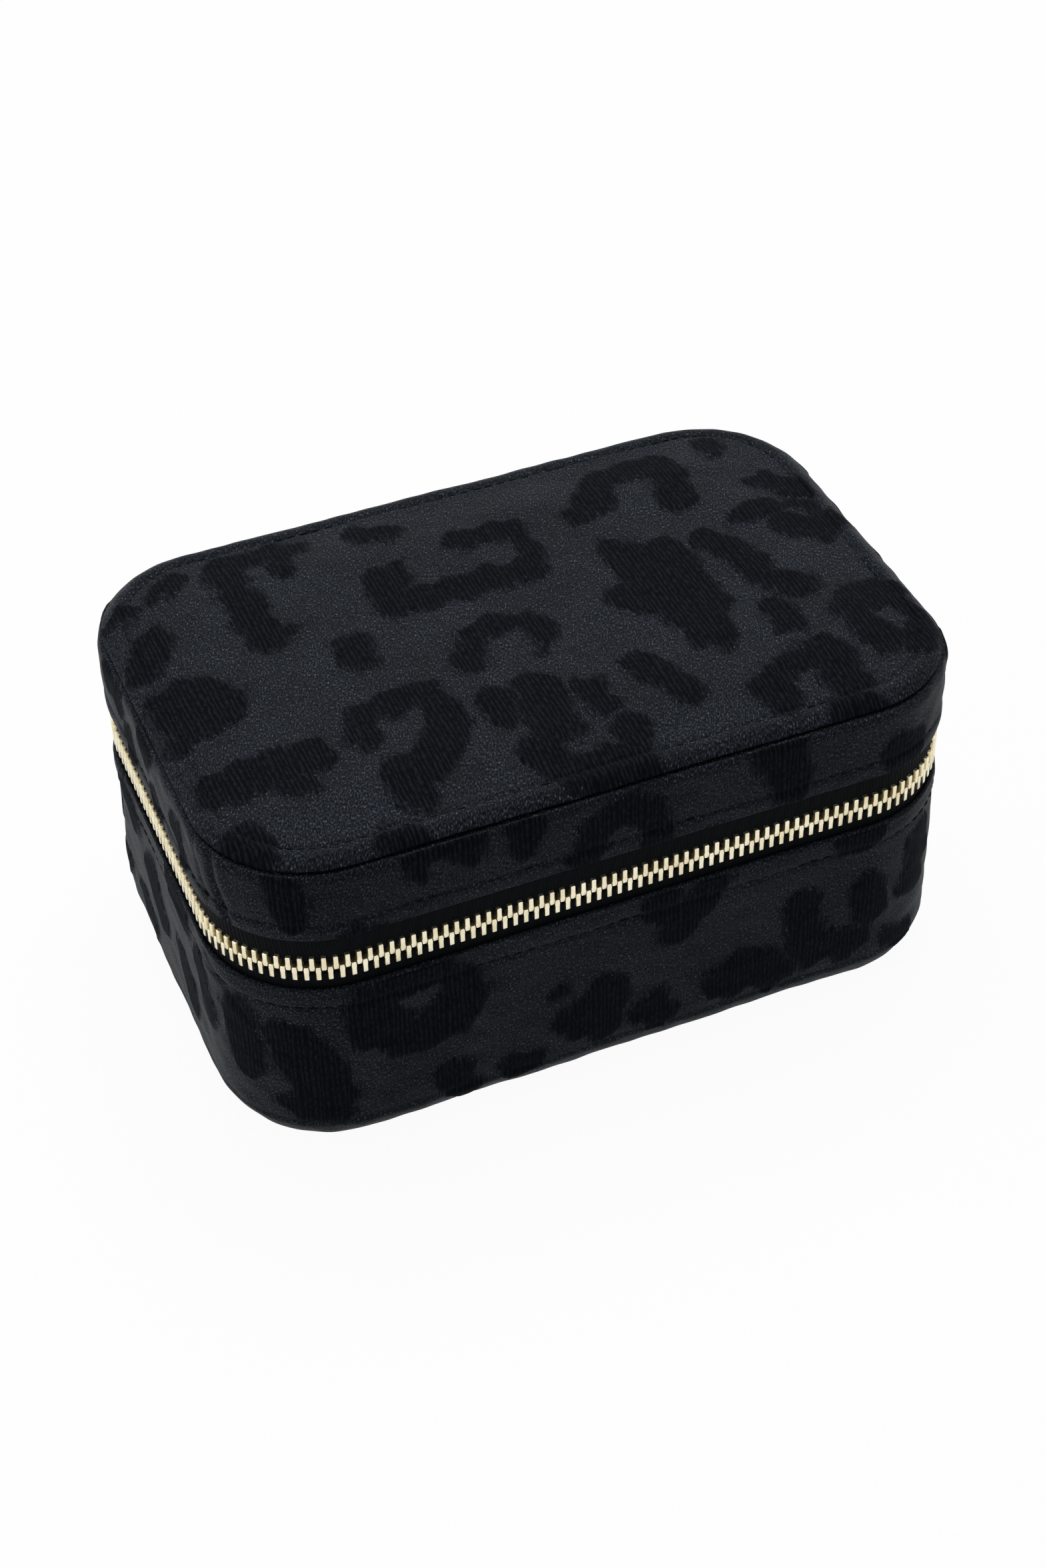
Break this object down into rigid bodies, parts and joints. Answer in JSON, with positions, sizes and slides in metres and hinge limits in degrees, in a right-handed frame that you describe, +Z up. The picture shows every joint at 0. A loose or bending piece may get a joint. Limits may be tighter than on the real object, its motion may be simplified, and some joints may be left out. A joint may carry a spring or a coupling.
{
  "type": "jewellery case",
  "caption": "Zip-around fabric-covered jewellery case with a hinged lid, metal zip and pull, padded ring rolls, dividers, a lid pocket and necklace hooks.",
  "frame": {"origin": "centre of the case's outline at the underside of the bottom panel", "axes": "+X to the right along the front, +Y to the back where the lid is hinged, +Z up"},
  "size_m": [0.1757, 0.113, 0.0833],
  "materials": {
    "pile_cover": "navy-black satin twill with raised pile spots",
    "bottom_cover": "plain dark twill",
    "shell": "moulded, hidden",
    "foam": "soft foam, hidden",
    "lining": "short flock",
    "pad": "short flock over foam",
    "tape": "woven herringbone tape",
    "zip_metal": "pale gold, polished"
  },
  "bodies": {
    "base": {"base_shell": "shell", "base_side_cover": "pile_cover", "base_bottom_cover": "bottom_cover", "base_lining": "lining", "base_floor_pad": "pad", "left_divider": "pad", "right_divider": "pad", "cross_divider": "pad", "ring_plinth": "foam", "ring_rolls": "pad", "lower_zip_tape": "tape", "lower_zip_teeth": "zip_metal", "lower_right_teeth": "zip_metal", "lower_zip_stops": "zip_metal", "hinge_spine": "bottom_cover", "hinge_lining": "lining"},
    "lid": {"lid_shell": "shell", "lid_foam_pad": "foam", "lid_top_cover": "pile_cover", "lid_side_cover": "pile_cover", "lid_lining": "lining", "lid_lining_panel": "pad", "lid_pocket": "lining", "pocket_elastic": "lining", "hook_strip": "lining", "necklace_hooks": "zip_metal", "upper_zip_tape": "tape", "upper_zip_teeth": "zip_metal", "upper_right_teeth": "zip_metal", "upper_zip_stops": "zip_metal"},
    "slider": {"slider_body": "zip_metal"},
    "link": {"pull_link": "zip_metal"},
    "tab": {"pull_tab": "zip_metal"}
  },
  "joints": [
    {"name": "lid_hinge", "type": "hinge", "parent": "base", "child": "lid", "pos_m": [0, 0.0553, 0.055], "axis": [-1, 0, 0], "range_deg": [0, 110], "deforming": ["hinge_spine", "hinge_lining"]},
    {"name": "slider_slide", "type": "slide", "parent": "base", "child": "slider", "axis": [0, -1, 0], "range_m": [0, 0.045], "deforming": ["lower_right_teeth", "upper_right_teeth"]},
    {"name": "link_swing", "type": "hinge", "parent": "slider", "child": "link", "pos_m": [0.0884, 0.02425, 0.055], "axis": [0, -1, 0], "range_deg": [0, 120]},
    {"name": "tab_swing", "type": "hinge", "parent": "link", "child": "tab", "pos_m": [0.0884, 0.02425, 0.0473], "axis": [1, 0, 0], "range_deg": [-60, 60]}
  ]
}
